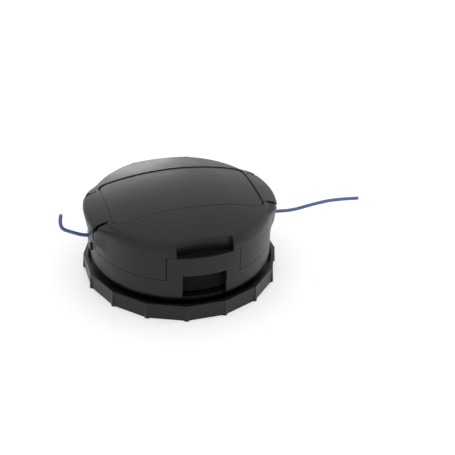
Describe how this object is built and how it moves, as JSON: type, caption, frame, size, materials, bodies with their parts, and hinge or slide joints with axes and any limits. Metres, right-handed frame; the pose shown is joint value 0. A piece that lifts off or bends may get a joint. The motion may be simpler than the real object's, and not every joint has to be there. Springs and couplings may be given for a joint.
{
  "type": "bump feed trimmer head",
  "caption": "Round string trimmer head: latched drum with line exits, sprung bump slide, indexing spool inside and a serrated winding knob with a threaded arbor insert",
  "frame": {"origin": "centre of the winding knob's lower rim, on the axis of rotation", "axes": "+Z from the drive side up to the dome along the axis of rotation, X through the line exits, Y through the latches"},
  "size_m": [0.1792, 0.11, 0.0526],
  "materials": {
    "black_plastic": "satin moulded charcoal black",
    "spool_plastic": "satin moulded black",
    "steel": "zinc plated",
    "blue_line": "smooth nylon line"
  },
  "bodies": {
    "drive_core": {"winding_knob": "black_plastic", "spool": "spool_plastic", "arbor_insert": "steel", "spool_screws": "steel", "bump_spring": "steel", "line_wound_lower": "blue_line", "line_wound_upper": "blue_line"},
    "spring_seat": {"thrust_washer": "steel"},
    "drum": {"dome_cover": "black_plastic", "lower_housing": "black_plastic", "eyelet_left": "steel", "eyelet_right": "steel", "line_end_left": "blue_line", "line_end_right": "blue_line"}
  },
  "joints": [
    {"name": "bump_slide", "type": "slide", "parent": "drive_core", "child": "spring_seat", "axis": [0, 0, -1], "range_m": [0, 0.006], "stiffness_N_per_m": 1500, "springref_m": -0.008, "deforming": ["bump_spring"]},
    {"name": "index_turn", "type": "hinge", "parent": "spring_seat", "child": "drum", "pos_m": [0, 0, 0], "axis": [0, 0, 1], "range_deg": [-27.5, 0]}
  ]
}
